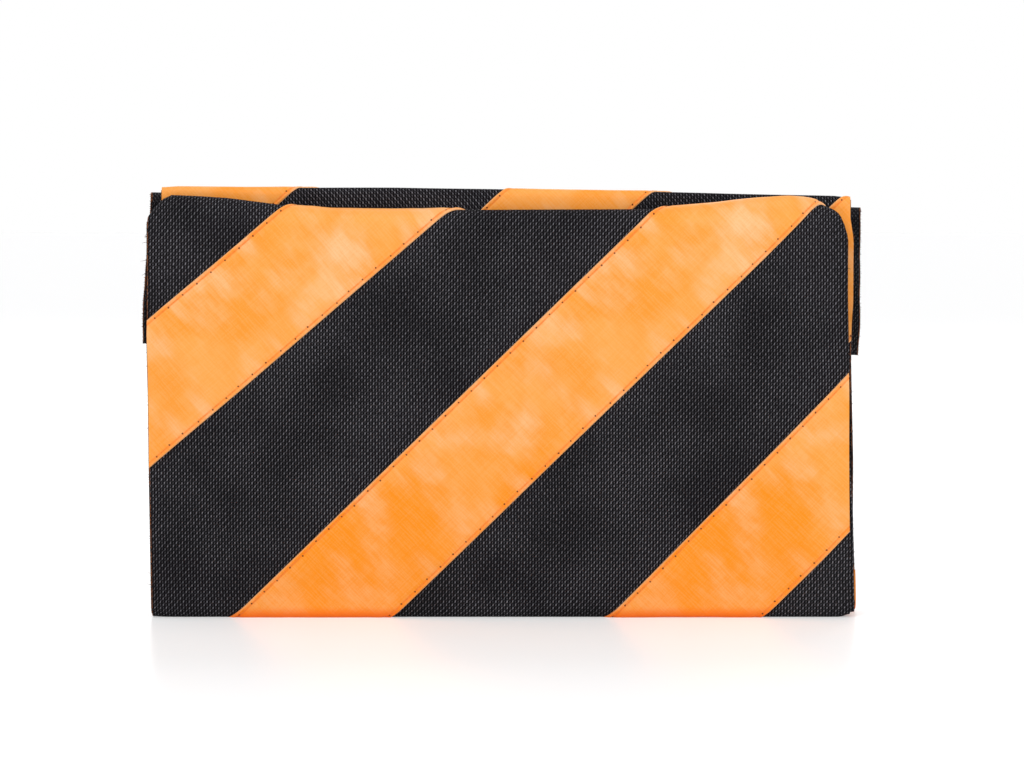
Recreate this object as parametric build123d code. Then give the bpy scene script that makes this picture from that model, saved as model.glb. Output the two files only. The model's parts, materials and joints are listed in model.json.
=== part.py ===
from build123d import *
import os
from math import pi, radians, tan

# Saddle weight bag, empty and folded like an M so that it stands on its two pouch folds.
# +X runs along the folds, -Y is the front, +Z is up; the origin is the centre of the footprint.
# Four halves lie behind each other: front end, front saddle, rear saddle, rear end.
# All sizes are in millimetres.

# ---- driving sizes -----------------------------------------------------------------------------
bag_width = 270.0            # cloth width, side seam to side seam
saddle_height = 165.0        # saddle halves, fold to fold
front_mouth_drop = 6.0       # saddle fold to the front pouch's mouth
rear_mouth_drop = 3.0        # saddle fold to the rear pouch's mouth
rear_shift = 2.5             # how far the three rear halves lie to the right of the front one

cloth = 0.9                  # coarse woven cloth with its backing
pouch_gap = 1.2              # space left inside an empty pouch
seam_allowance = 10.0        # cloth turned in along a side seam
fold_flat = 0.4              # how far a fold is pressed flat where the bag stands on it
fold_split = 0.3             # slit between the two halves of a fold, on the hinge line
soft_gap = 0.3               # clearance between soft pieces of different bodies

strip_angle = 43.6           # slant of the strips
strip_across = 43.5          # strip width, measured across it
strip_pitch = 143.9          # from strip to strip along a fold
strip_thick = 0.5
outer_strip_shift = -73.5    # a strip's centre at the front fold, from the bag's middle, outer side
under_strip_shift = -1.2     # the same on the under side

flap_overhang = 5.0          # the rear closing flap is wider than the bag, at each side
flap_drop = 58.0             # mouth to the flap's free edge
flap_step = 1.4              # how far the flap steps in below the zip
flap_step_run = 4.0          # height of that step
tape_height = 13.0           # hook and loop tapes
tape_thick = 1.2
tape_margin = 2.0            # from the flap's free edge to its hook tape

zip_end_margin = 9.5         # side seam to the row of teeth, at each end
zip_drop = 25.0              # mouth to the zip's middle
zip_tape_width = 12.5
zip_tape_thick = 0.6
zip_tape_extra = 14.0        # tape past the teeth at each end
tooth_pitch = 3.5
tooth_length = 1.45          # along the zip
tooth_reach = 1.0            # past the zip's middle line
tooth_thick = 2.0
tape_to_middle = 1.2         # from the middle line to a tape's edge
stop_length = 3.0
slit_margin = 1.8            # slit in the cloth past the slider, each way

slider_length = 11.0
slider_width = 8.4
slider_plate = 0.7
slider_play = 0.2            # between the teeth and each plate
lip_thick = 0.8              # the slider's side lips
wedge_length = 3.8
bridge_length = 7.0
bridge_width = 1.6
bridge_thick = 0.6
bridge_opening = 1.0
bridge_post = 1.5
pull_length = 26.0
pull_width = 7.0
pull_thick = 0.7
pull_bar = 1.8               # bar that lies under the bridge
pull_window = 4.1
pull_rail = 1.3

handle_span = 150.0          # between the outer edges of the handle's legs
handle_drop = 72.0           # saddle to the lowest edge
handle_strap = 19.0          # webbing creased along its middle
webbing = 2.2                # one thickness of it
handle_crease_play = 0.4     # from the folded webbing to the strips on each side
handle_patch = 30.0          # doubled and stitched end of each leg
handle_thin = 0.9            # how much thinner one side of the strap is below the patch
handle_bend = 24.0           # radius at the middle of the strap's two bends

# ---- worked out from them ----------------------------------------------------------------------
panel = 2 * cloth + pouch_gap
front_height = saddle_height - front_mouth_drop
rear_height = saddle_height - rear_mouth_drop
front_flap_width = bag_width
rear_flap_width = bag_width + 2 * flap_overhang
tape_length = bag_width - 2 * seam_allowance         # hook and loop tapes, between the side seams
zip_length = tape_length - 2 * zip_end_margin        # row of teeth

slider_top = (zip_tape_thick + tooth_thick) / 2 + slider_play + slider_plate
bridge_top = slider_top + bridge_opening + bridge_thick
flap_in = bridge_top + soft_gap                      # flap's inner face, from the pouch's back cloth
flap_out = flap_in + cloth

front_gap = flap_out + soft_gap + strip_thick   # front end half to front saddle half
handle_thick = 2 * webbing
saddle_gap = handle_thick + 2 * handle_crease_play + 2 * strip_thick
rear_gap = 2 * strip_thick + soft_gap + fold_split

depth = strip_thick + 4 * panel + front_gap + saddle_gap + rear_gap + flap_out
front_face = -depth / 2 + strip_thick
front_back = front_face + panel
front_axis = front_back + front_gap / 2
front_saddle_face = front_back + front_gap
front_saddle_back = front_saddle_face + panel
saddle_axis = front_saddle_back + saddle_gap / 2
rear_saddle_face = front_saddle_back + saddle_gap
rear_saddle_back = rear_saddle_face + panel
rear_axis = rear_saddle_back + rear_gap / 2
rear_face = rear_saddle_back + rear_gap
rear_back = rear_face + panel
rear_middle = rear_shift

front_fold_radius = panel + front_gap / 2
saddle_fold_radius = panel + saddle_gap / 2
rear_fold_radius = panel + rear_gap / 2

# Lengths along the middle of the cloths: a bottom fold against a sharp crease at height 0, and the whole
# way up one saddle half and down the other
front_extra = pi * (front_fold_radius - panel / 2) - 2 * (front_fold_radius - fold_flat)
rear_extra = pi * (rear_fold_radius - panel / 2) - 2 * (rear_fold_radius - fold_flat)
saddle_way = pi * (saddle_fold_radius - panel / 2) + 2 * (saddle_height - saddle_fold_radius)

mouth_radius = (panel + flap_out) / 2                # cloth turned over the mouth
crease_drop = 1.3                                    # mouth arch's end to the rear flap's hinge line


def box(x0, x1, y0, y1, z0, z1):
    """Plain block between two corners."""
    return Pos((x0 + x1) / 2, (y0 + y1) / 2, (z0 + z1) / 2) * Box(x1 - x0, y1 - y0, z1 - z0)


def across(profile, width, middle=0.0):
    """Solid of a Y-Z profile, run along X over a width."""
    return Pos(middle - width / 2, 0, 0) * extrude(Plane.YZ * profile, amount=width)


def rectangle(y0, y1, z0, z1):
    return Pos((y0 + y1) / 2, (z0 + z1) / 2) * Rectangle(y1 - y0, z1 - z0)


def quarter(axis_y, centre_z, near, far, side, up):
    """Quarter of a ring round a fold: side -1 is in front of it, up is 1 over a saddle."""
    ring = Pos(axis_y, centre_z) * (Circle(far) - Circle(near))
    reach = 2 * far
    y_near = axis_y + side * fold_split / 2
    y_far = axis_y + side * reach
    z_far = centre_z + up * reach
    corner = rectangle(min(y_near, y_far), max(y_near, y_far), min(centre_z, z_far), max(centre_z, z_far))
    return ring & corner


def fold_centre(radius):
    """Height of a bottom fold's centre: the fold is pressed flat where it stands."""
    return radius - fold_flat


def layer(y0, y1, z_top, bottom, top, width, middle):
    """One cloth of a half: straight between y0 and y1, and turned at its folds.
    bottom and top are (axis_y, fold_radius), or top is None at a mouth."""
    axis_y, radius = bottom
    low = fold_centre(radius)
    side = 1 if y0 > axis_y else -1
    reach = sorted((abs(y0 - axis_y), abs(y1 - axis_y)))
    profile = quarter(axis_y, low, reach[0], reach[1], side, -1)
    high = z_top
    if top:
        axis_y, radius = top
        high = z_top - radius
        side = 1 if y0 > axis_y else -1
        reach = sorted((abs(y0 - axis_y), abs(y1 - axis_y)))
        profile += quarter(axis_y, high, reach[0], reach[1], side, 1)
    profile += rectangle(y0, y1, low, high)
    solid = across(profile, width, middle)
    floor = box(middle - width, middle + width, y0 - 4 * radius, y1 + 4 * radius, 0, z_top + 1)
    return solid & floor


def side_seams(y0, z_top, bottom, top, middle):
    """Cloth edges turned in between the two cloths of a half, one solid at each side."""
    edges = []
    for side in (-1, 1):
        seam_middle = middle + side * (bag_width - seam_allowance) / 2
        edges.append(layer(y0 + cloth, y0 + panel - cloth, z_top, bottom, top, seam_allowance, seam_middle))
    return edges


def strips(y0, z_low, z_high, shift, lean, middle):
    """Strips on one face: lean 1 rises to the right, seen from the front. A strip's centre would cross
    height 0 at shift from the half's middle, and at each pitch from there."""
    run = 1 / tan(radians(strip_angle))
    half = strip_across / 2 * (1 + run ** 2) ** 0.5
    face = rectangle(middle - bag_width / 2, middle + bag_width / 2, z_low, z_high)
    pieces = []
    copies = int((bag_width + abs(shift) + saddle_height * run) / strip_pitch) + 2
    for number in range(-copies, copies + 1):
        foot = middle + shift + number * strip_pitch + lean * run * z_low
        head = middle + shift + number * strip_pitch + lean * run * z_high
        outline = Polyline((foot - half, z_low), (foot + half, z_low), (head + half, z_high),
                           (head - half, z_high), close=True)
        cut = make_face(outline) & face
        for piece in cut.faces():
            if piece.area > strip_across:
                flat = Plane(origin=(0, y0 + strip_thick, 0), x_dir=(1, 0, 0), z_dir=(0, -1, 0)) * piece
                pieces.append(extrude(flat, amount=strip_thick))
    return pieces


def mouth_fold(face_y, top, width, middle):
    """Cloth of the pouch's face turned over the mouth, towards the closing flap."""
    centre_y = face_y + mouth_radius
    ring = Pos(centre_y, top - mouth_radius) * (Circle(mouth_radius) - Circle(mouth_radius - cloth))
    half = rectangle(face_y - 1, face_y + 2 * mouth_radius + 1, top - mouth_radius, top + 1)
    return across(ring & half, width, middle)


def flap(back_y, top, drop, width):
    """Closing flap: it hangs behind the mouth and steps in to its hook tape.
    drop lowers its top edge, which is then rounded to turn about the hinge line."""
    crease = (back_y + flap_in + cloth / 2, top - mouth_radius - drop)
    low = top - flap_drop
    step_low = low + 2 * tape_margin + tape_height
    step_high = step_low + flap_step_run
    outer = back_y + flap_out
    inner = back_y + flap_in
    outline = Polyline((outer, crease[1]), (outer, step_high), (outer - flap_step, step_low),
                       (outer - flap_step, low), (inner - flap_step, low), (inner - flap_step, step_low),
                       (inner, step_high), (inner, crease[1]), close=True)
    profile = make_face(outline)
    if drop:
        profile += Pos(*crease) * Circle(cloth / 2)
    return across(profile, width)


def hook_and_loop(back_y, top, middle):
    """Loop tape on the pouch's back cloth, hook tape on the flap's inner face."""
    low = top - flap_drop + tape_margin
    high = low + tape_height
    half = tape_length / 2
    hook_face = back_y + flap_in - flap_step
    loop = box(middle - half, middle + half, back_y, back_y + tape_thick, low, high)
    hook = box(middle - half, middle + half, hook_face - tape_thick, hook_face, low, high)
    return loop, hook


def zip_tapes(back_y, zip_z, middle):
    half = zip_length / 2 + zip_tape_extra
    far = tape_to_middle + zip_tape_width
    upper = box(middle - half, middle + half, back_y, back_y + zip_tape_thick, zip_z + tape_to_middle, zip_z + far)
    lower = box(middle - half, middle + half, back_y, back_y + zip_tape_thick, zip_z - far, zip_z - tape_to_middle)
    return [upper, lower]


def tooth_faces(back_y):
    """Back and front of the teeth, centred on the tapes."""
    middle = back_y + zip_tape_thick / 2
    return middle - tooth_thick / 2, middle + tooth_thick / 2


def zip_teeth(back_y, zip_z, middle):
    """Two rows of moulded teeth, each clear of its neighbours in the other row."""
    y0, y1 = tooth_faces(back_y)
    start = middle - zip_length / 2
    teeth = []
    for number in range(int(zip_length / tooth_pitch)):
        for row, side in ((0.0, 1), (0.5, -1)):
            x0 = start + (number + row) * tooth_pitch
            low, high = sorted((zip_z - side * tooth_reach, zip_z + side * tape_to_middle))
            teeth.append(box(x0, x0 + tooth_length, y0, y1, low, high))
    return teeth


def zip_stops(back_y, zip_z, middle):
    """Bottom stop past the last teeth, and one top stop on each tape past the slider."""
    y0, y1 = tooth_faces(back_y)
    end = middle + zip_length / 2 + soft_gap
    stops = [box(end, end + stop_length, y0, y1, zip_z - tape_to_middle, zip_z + tape_to_middle)]
    head = slider_middle(middle) - slider_length / 2 - soft_gap
    tape_face = back_y + zip_tape_thick
    for side in (-1, 1):
        low, high = sorted((zip_z + side * tape_to_middle, zip_z + side * 2 * tape_to_middle))
        stops.append(box(head - stop_length, head, tape_face, y1, low, high))
    return stops


def slider_middle(middle):
    """Closed place of the slider along X: its wedge is just past the first tooth."""
    return middle - zip_length / 2 - soft_gap - wedge_length + slider_length / 2


def zip_slider(back_y, zip_z, middle):
    """Two plates joined by the wedge, side lips over the tapes, and the pull's bridge."""
    y0, y1 = tooth_faces(back_y)
    x_mid = slider_middle(middle)
    x0 = x_mid - slider_length / 2
    x1 = x_mid + slider_length / 2
    z0 = zip_z - slider_width / 2
    z1 = zip_z + slider_width / 2
    back = box(x0, x1, y0 - slider_play - slider_plate, y0 - slider_play, z0, z1)
    top_face = y1 + slider_play + slider_plate
    front = box(x0, x1, y1 + slider_play, top_face, z0, z1)
    corners = (back + front).edges().filter_by(Axis.Y)
    plates = fillet(corners, slider_width / 4)
    wedge_y0, wedge_y1 = y0 - slider_play, y1 + slider_play
    outline = Polyline((x0 + wedge_length, zip_z), (x0 + wedge_length / 2, zip_z + tape_to_middle - slider_play),
                       (x0, zip_z), (x0 + wedge_length / 2, zip_z - tape_to_middle + slider_play), close=True)
    flat = Plane(origin=(0, wedge_y1, 0), x_dir=(1, 0, 0), z_dir=(0, -1, 0)) * make_face(outline)
    body = plates + extrude(flat, amount=wedge_y1 - wedge_y0)
    lip_x0, lip_x1 = x0 + slider_width / 4, x1 - slider_width / 4
    lip_y0 = back_y + zip_tape_thick + slider_play
    for low in (z0, z1 - lip_thick):
        body += box(lip_x0, lip_x1, lip_y0, y1 + slider_play, low, low + lip_thick)
    bridge_y0 = top_face + bridge_opening
    half = bridge_length / 2
    arch = box(x_mid - half, x_mid + half, top_face, bridge_y0 + bridge_thick, zip_z - bridge_width / 2,
               zip_z + bridge_width / 2)
    arch -= box(x_mid - half + bridge_post, x_mid + half - bridge_post, top_face, bridge_y0,
                zip_z - bridge_width, zip_z + bridge_width)
    arch = fillet(arch.edges().filter_by(Axis.Z).sort_by(Axis.Y)[-2:], bridge_thick * 0.8)
    return body + arch


def zip_pull(back_y, zip_z, middle):
    """Flat pull: a bar under the bridge, a window round its post, and a tapered tab."""
    x_mid = slider_middle(middle)
    y_low = back_y + slider_top + (bridge_opening - pull_thick) / 2
    bar = pull_bar / 2
    shoulder = bar + pull_window + pull_rail
    outline = Polyline((-bar, -pull_width / 2), (shoulder, -pull_width / 2), (pull_length * 0.55, -pull_width * 0.3),
                       (pull_length, -pull_width * 0.45), (pull_length, pull_width * 0.45),
                       (pull_length * 0.55, pull_width * 0.3), (shoulder, pull_width / 2), (-bar, pull_width / 2),
                       close=True)
    face = make_face(outline)
    face = fillet(face.vertices().sort_by(Axis.X)[-2:], pull_width * 0.3)
    face -= Pos(bar + pull_window / 2, 0) * Rectangle(pull_window, pull_width - 2 * pull_rail)
    face -= Pos(pull_length * 0.86, 0) * Circle(pull_width * 0.18)
    flat = Plane(origin=(x_mid, y_low + pull_thick, zip_z), x_dir=(1, 0, 0), z_dir=(0, -1, 0)) * face
    return extrude(flat, amount=pull_thick)


def back_cloth_slit(back_y, zip_z, middle):
    """Slit in the back cloth behind the zip, long and wide enough for the slider."""
    x0 = slider_middle(middle) - slider_length / 2 - slit_margin
    x1 = middle + zip_length / 2 + stop_length + slit_margin
    half = slider_width / 2 + slit_margin
    return box(x0, x1, back_y - 2 * cloth + cloth / 2, back_y + cloth / 2, zip_z - half, zip_z + half)


def handle():
    """Carrying strap, creased along its middle: two legs, two bends and the grip between them."""
    root = saddle_height - saddle_fold_radius + saddle_gap / 2 - 2 * soft_gap - cloth
    low = saddle_height - handle_drop
    outside = Pos(0, (root + low) / 2) * Rectangle(handle_span, root - low)
    outside = fillet(outside.vertices().sort_by(Axis.Y)[:2], handle_bend + handle_strap / 2)
    inner_low = low + handle_strap
    inside = Pos(0, (root + 1 + inner_low) / 2) * Rectangle(handle_span - 2 * handle_strap, root + 1 - inner_low)
    inside = fillet(inside.vertices().sort_by(Axis.Y)[:2], handle_bend - handle_strap / 2)
    flat = Plane(origin=(rear_middle, saddle_axis + handle_thick / 2, 0), x_dir=(1, 0, 0), z_dir=(0, -1, 0))
    strap = extrude(flat * (outside - inside), amount=handle_thick)
    thin_half = (handle_thick - handle_thin) / 2
    for y0 in (saddle_axis - thin_half - handle_thick, saddle_axis + thin_half):
        strap -= box(rear_middle - handle_span, rear_middle + handle_span, y0, y0 + handle_thick,
                     low - handle_strap, root - handle_patch)
    return strap


def build():
    """Every node by name, each a list of solids."""
    nodes = {}
    front_bottom = (front_axis, front_fold_radius)
    saddle_top = (saddle_axis, saddle_fold_radius)
    rear_bottom = (rear_axis, rear_fold_radius)

    # The two end halves: a pouch with its mouth at the top, closed by a zip and a flap.
    # The rear flap's cloth also covers its mouth, so both are as wide there.
    ends = (
        ("front", front_face, front_height, front_bottom, 0.0, 0.0, front_flap_width),
        ("rear", rear_face, rear_height, rear_bottom, rear_middle, crease_drop, rear_flap_width),
    )
    for name, face_y, top, bottom, middle, drop, width in ends:
        back_y = face_y + panel
        zip_z = top - zip_drop
        edge = top - mouth_radius
        inner = layer(face_y, face_y + cloth, edge, bottom, None, bag_width, middle)
        zipped = layer(back_y - cloth, back_y, edge, bottom, None, bag_width, middle)
        loop, hook = hook_and_loop(back_y, top, middle)
        nodes[name + "_end_face_cloth"] = [inner]
        nodes[name + "_end_zip_cloth"] = [zipped - back_cloth_slit(back_y, zip_z, middle)]
        nodes[name + "_end_side_seams"] = side_seams(face_y, edge, bottom, None, middle)
        nodes[name + "_mouth_fold"] = [mouth_fold(face_y, top, width, 0.0)]
        nodes[name + "_flap"] = [flap(back_y, top, drop, width)]
        nodes[name + "_loop_tape"] = [loop]
        nodes[name + "_hook_tape"] = [hook]
        nodes[name + "_zip_tapes"] = zip_tapes(back_y, zip_z, middle)
        nodes[name + "_zip_teeth"] = zip_teeth(back_y, zip_z, middle)
        nodes[name + "_zip_stops"] = zip_stops(back_y, zip_z, middle)
        nodes[name + "_zip_slider"] = [zip_slider(back_y, zip_z, middle)]
        nodes[name + "_zip_pull"] = [zip_pull(back_y, zip_z, middle)]

    # The two saddle halves: closed cloth from the pouch fold up to the saddle fold.
    saddles = (
        ("front", front_saddle_face, front_bottom),
        ("rear", rear_saddle_face, rear_bottom),
    )
    for name, face_y, bottom in saddles:
        back_y = face_y + panel
        front_cloth = layer(face_y, face_y + cloth, saddle_height, bottom, saddle_top, bag_width, rear_middle)
        back_cloth = layer(back_y - cloth, back_y, saddle_height, bottom, saddle_top, bag_width, rear_middle)
        nodes[name + "_saddle_front_cloth"] = [front_cloth]
        nodes[name + "_saddle_back_cloth"] = [back_cloth]
        nodes[name + "_saddle_side_seams"] = side_seams(face_y, saddle_height, bottom, saddle_top, rear_middle)

    # Strips on every face. They run on round each fold, so a face's slant is opposite to the next one's.
    run = 1 / tan(radians(strip_angle))
    front_low = fold_centre(front_fold_radius)
    rear_low = fold_centre(rear_fold_radius)
    saddle_high = saddle_height - saddle_fold_radius
    flap_low = flap_drop + 2 * soft_gap
    outer_saddle = outer_strip_shift - run * front_extra
    outer_rear = outer_saddle - run * saddle_way
    under_rear = under_strip_shift + run * saddle_way
    t = strip_thick
    nodes["front_end_strips"] = strips(front_face - t, front_low, front_height - mouth_radius,
                                       outer_strip_shift, 1, 0.0)
    nodes["front_end_under_strips"] = strips(front_back, front_low, front_height - flap_low,
                                             under_strip_shift - run * front_extra, -1, 0.0)
    nodes["front_saddle_strips"] = (
        strips(front_saddle_face - t, front_low, saddle_high, under_strip_shift, 1, rear_middle)
        + strips(front_saddle_back, front_low, saddle_high, outer_saddle, -1, rear_middle))
    nodes["rear_saddle_strips"] = (
        strips(rear_saddle_face - t, rear_low, saddle_high, outer_rear, 1, rear_middle)
        + strips(rear_saddle_back, rear_low, saddle_high, under_rear, -1, rear_middle))
    nodes["rear_end_under_strips"] = strips(rear_face - t, rear_low, rear_height - mouth_radius,
                                            under_rear + run * rear_extra, 1, rear_middle)
    nodes["rear_end_strips"] = strips(rear_back, rear_low, rear_height - flap_low,
                                      outer_rear - run * rear_extra, -1, rear_middle)
    nodes["handle"] = [handle()]
    return nodes


def main():
    os.makedirs("parts", exist_ok=True)
    for name, solids in build().items():
        parts = [solid for shape in solids for solid in shape.solids()]
        export_step(Compound(children=parts) if len(parts) > 1 else parts[0], "parts/" + name + ".step")
    print("hinge lines y, z:", front_axis, rear_axis, saddle_axis, -fold_split / 2, saddle_height + fold_split / 2)


if __name__ == "__main__":
    main()
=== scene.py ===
import json
import math
import random
from functools import partial

import bmesh
import bpy
from bpy.props import FloatProperty, PointerProperty, StringProperty
from mathutils import Matrix, Vector, noise


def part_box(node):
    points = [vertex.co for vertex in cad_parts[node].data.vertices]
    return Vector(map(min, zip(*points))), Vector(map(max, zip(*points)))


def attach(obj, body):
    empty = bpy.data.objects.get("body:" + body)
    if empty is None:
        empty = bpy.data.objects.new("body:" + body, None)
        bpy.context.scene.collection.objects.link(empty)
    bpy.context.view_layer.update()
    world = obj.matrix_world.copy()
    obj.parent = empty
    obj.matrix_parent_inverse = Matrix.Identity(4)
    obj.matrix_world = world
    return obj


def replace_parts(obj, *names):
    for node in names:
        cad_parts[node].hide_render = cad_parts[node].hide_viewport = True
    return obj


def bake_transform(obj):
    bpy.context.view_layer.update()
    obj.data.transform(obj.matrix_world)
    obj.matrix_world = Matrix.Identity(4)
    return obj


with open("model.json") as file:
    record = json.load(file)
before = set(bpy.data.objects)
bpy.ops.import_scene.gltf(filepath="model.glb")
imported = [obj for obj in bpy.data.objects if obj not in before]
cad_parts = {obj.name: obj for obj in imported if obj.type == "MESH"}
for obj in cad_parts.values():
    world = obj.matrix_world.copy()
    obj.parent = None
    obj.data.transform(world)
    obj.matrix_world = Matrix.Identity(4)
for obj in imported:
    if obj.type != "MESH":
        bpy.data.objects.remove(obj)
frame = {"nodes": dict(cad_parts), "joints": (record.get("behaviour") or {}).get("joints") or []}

bl_info = {
    "name": "Folded Saddle Weight Bag",
    "version": (1, 0, 0),
    "blender": (4, 5, 0),
    "location": "3D View > Sidebar > Weight Bag",
    "description": "Cloth, strips, closures and studio for an empty saddle weight bag",
    "category": "Object",
}

# ---- sizes of the bag, in metres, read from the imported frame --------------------
MM = 0.001


def joint_point(name):
    """Place of a joint's axis."""
    joint = next(j for j in frame["joints"] if j["name"] == name)
    return Vector(joint["pos_m"])


FRONT_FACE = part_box("front_end_face_cloth")[0].y
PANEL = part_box("front_zip_tapes")[0].y - FRONT_FACE      # two cloths and the space between them
FRONT_AXIS = joint_point("front_fold").y
SADDLE_AXIS = joint_point("saddle_fold").y
REAR_AXIS = joint_point("rear_fold").y
CLOTH = 0.9 * MM
PRESSED = 0.4 * MM                                       # how far the folds are pressed flat below
BAG_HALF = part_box("front_end_face_cloth")[1].x
REAR_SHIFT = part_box("rear_end_face_cloth")[1].x - BAG_HALF
SADDLE_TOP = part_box("front_saddle_front_cloth")[1].z
FRONT_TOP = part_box("front_mouth_fold")[1].z
REAR_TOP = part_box("rear_mouth_fold")[1].z
MOUTH_R = (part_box("front_mouth_fold")[1].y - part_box("front_mouth_fold")[0].y) / 2

# Middle of each half's thickness, and the turns between the halves
FRONT_MID = FRONT_FACE + PANEL / 2
FRONT_TURN = FRONT_AXIS - FRONT_MID
FRONT_SADDLE_MID = FRONT_AXIS + FRONT_TURN
SADDLE_TURN = SADDLE_AXIS - FRONT_SADDLE_MID
REAR_SADDLE_MID = SADDLE_AXIS + SADDLE_TURN
REAR_TURN = REAR_AXIS - REAR_SADDLE_MID
REAR_MID = REAR_AXIS + REAR_TURN
FRONT_LOW = FRONT_TURN + PANEL / 2 - PRESSED
REAR_LOW = REAR_TURN + PANEL / 2 - PRESSED
SADDLE_HIGH = SADDLE_TOP - SADDLE_TURN - PANEL / 2
FRONT_EDGE = FRONT_TOP - MOUTH_R
REAR_EDGE = REAR_TOP - MOUTH_R
ARCH_TURN = MOUTH_R - PANEL / 2

ROW = 3.0 * MM             # cloth mesh between folds
TURN_ROW = 0.8 * MM        # and round them
STRIP_ROW = 1.0 * MM       # strip mesh round the folds
STRIP_HALF = 21.75 * MM    # half of a strip's width
HEM = 1.5 * MM             # strip edge to its stitch line
STITCH = 7.0 * MM          # needle hole to needle hole
BARE = 60.0 * MM           # stretch below a pouch's zipped mouth that carries no strips
SLIT_HALF = 8.0 * MM       # half the height of the slit in the cloth behind a zip
SLIT_END = 2.0 * MM        # how far the slit goes past the zip's ends
SNAP = 1e-7                # how near a cut takes a vertex as lying on it
BATCH = 60                 # threads made together before they join their mesh
SEAM_HALF = 0.09 * MM      # half the thickness of the cloth turned in along the sides
SEAM_WIDTH = 10.0 * MM     # and how wide it is
THREAD_STEP = 0.75 * MM    # between loose threads
SADDLE_SPLIT = 16.0 * MM   # height at which the fold pieces meet on the saddle halves
SKIN = PANEL / 2 + 0.5 * MM  # middle of a half to the strips on its outside


class Straight:
    """Stretch of cloth that runs up or down."""

    def __init__(self, y, z0, z1):
        self.y, self.z0, self.z1 = y, z0, z1
        self.length = abs(z1 - z0)
        self.way = 1 if z1 > z0 else -1
        self.row = ROW

    def at(self, u):
        """Place and outward normal, as y, z, ny, nz, at a distance along the stretch."""
        return self.y, self.z0 + self.way * u, float(self.way), 0.0


class Turn:
    """Stretch of cloth that turns round a fold; square above 2 makes a fuller shoulder at its start or end.

    Its length is that of the line skin outside its middle.
    """

    def __init__(self, y, z, radius, a0, a1, outward, square=(2.0, 2.0), skin=0.0):
        self.row = TURN_ROW
        self.marks = []
        steps, length, last, inner = 120, 0.0, None, 0.0
        for n in range(steps + 1):
            a = a0 + (a1 - a0) * n / steps
            c, s = math.cos(a), math.sin(a)
            e = 2 / square[0 if 2 * n < steps else 1]
            place = Vector((y + radius * math.copysign(abs(c) ** e, c), z + radius * math.copysign(abs(s) ** e, s)))
            normal = Vector((math.copysign(abs(c) ** (2 - e), c), math.copysign(abs(s) ** (2 - e), s))).normalized()
            outer = place + skin * normal
            if last:
                length += (outer - last[0]).length
                inner += (place - last[1]).length
            last = outer, place
            self.marks.append((length, place, outward * normal))
        self.length = length
        self.growth = length - inner

    def at(self, u):
        """Place and outward normal, as y, z, ny, nz, at a distance along the stretch."""
        low, high = 0, len(self.marks) - 1
        while high - low > 1:
            middle = (low + high) // 2
            if self.marks[middle][0] <= u:
                low = middle
            else:
                high = middle
        d0, p0, n0 = self.marks[low]
        d1, p1, n1 = self.marks[high]
        share = min(1.0, max(0.0, (u - d0) / (d1 - d0)))
        place, normal = p0.lerp(p1, share), n0.lerp(n1, share).normalized()
        return place.x, place.y, normal.x, normal.y


# The bag's course, from behind the front mouth over it, and on through the three folds to the rear mouth
COURSE = [
    Turn(FRONT_FACE + MOUTH_R, FRONT_EDGE, ARCH_TURN, 0, math.pi, 1, skin=SKIN),
    Straight(FRONT_MID, FRONT_EDGE, FRONT_LOW),
    Turn(FRONT_AXIS, FRONT_LOW, FRONT_TURN, math.pi, 2 * math.pi, 1, (2.6, 2.4), SKIN),
    Straight(FRONT_SADDLE_MID, FRONT_LOW, SADDLE_HIGH),
    Turn(SADDLE_AXIS, SADDLE_HIGH, SADDLE_TURN, math.pi, 0, -1, (6.0, 1.7), SKIN),
    Straight(REAR_SADDLE_MID, SADDLE_HIGH, REAR_LOW),
    Turn(REAR_AXIS, REAR_LOW, REAR_TURN, math.pi, 2 * math.pi, 1),
    Straight(REAR_MID, REAR_LOW, REAR_EDGE),
]
ARCH, FRONT, FRONT_FOLD, FRONT_SADDLE, SADDLE_FOLD, REAR_SADDLE, REAR_FOLD, REAR = range(8)
STARTS = [sum(part.length for part in COURSE[:i]) for i in range(len(COURSE) + 1)]


def along(part, z):
    """Distance along the course of a height on a straight part."""
    straight = COURSE[part]
    return STARTS[part] + abs(z - straight.z0)


def part_at(s):
    """Index of the stretch that a distance along the course is on."""
    for index in range(len(COURSE) - 1, 0, -1):
        if s >= STARTS[index]:
            return index
    return 0


def rows_between(s0, s1):
    """Rows of cloth mesh from s0 to s1: wide on straight parts, close round the turns and below the front mouth."""
    near_mouth = STARTS[FRONT] + 16 * MM
    stops = sorted({s0, s1, near_mouth, *STARTS})
    rows = [s0]
    for low, high in zip(stops, stops[1:]):
        if low < s0 or high > s1 or high - low < 1e-6:
            continue
        row = TURN_ROW if high <= near_mouth else COURSE[part_at((low + high) / 2)].row
        count = max(1, round((high - low) / row))
        rows += [low + (high - low) * n / count for n in range(1, count + 1)]
    return rows


def ease(a, b, x):
    """0 before a, 1 past b, smooth between."""
    t = min(1.0, max(0.0, (x - a) / (b - a)))
    return t * t * (3 - 2 * t)


def wave(x, z, size, seed):
    """Smooth unevenness from -1 to 1 of a given size."""
    return noise.noise(Vector((x / size, z / size, seed * 7.3))) * 1.6


def between(x, stops):
    """Value at x on a line through (x, value) stops, in millimetres."""
    x /= MM
    if x <= stops[0][0]:
        return stops[0][1] * MM
    for (x0, v0), (x1, v1) in zip(stops, stops[1:]):
        if x <= x1:
            return (v0 + (v1 - v0) * (x - x0) / (x1 - x0)) * MM
    return stops[-1][1] * MM


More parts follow.
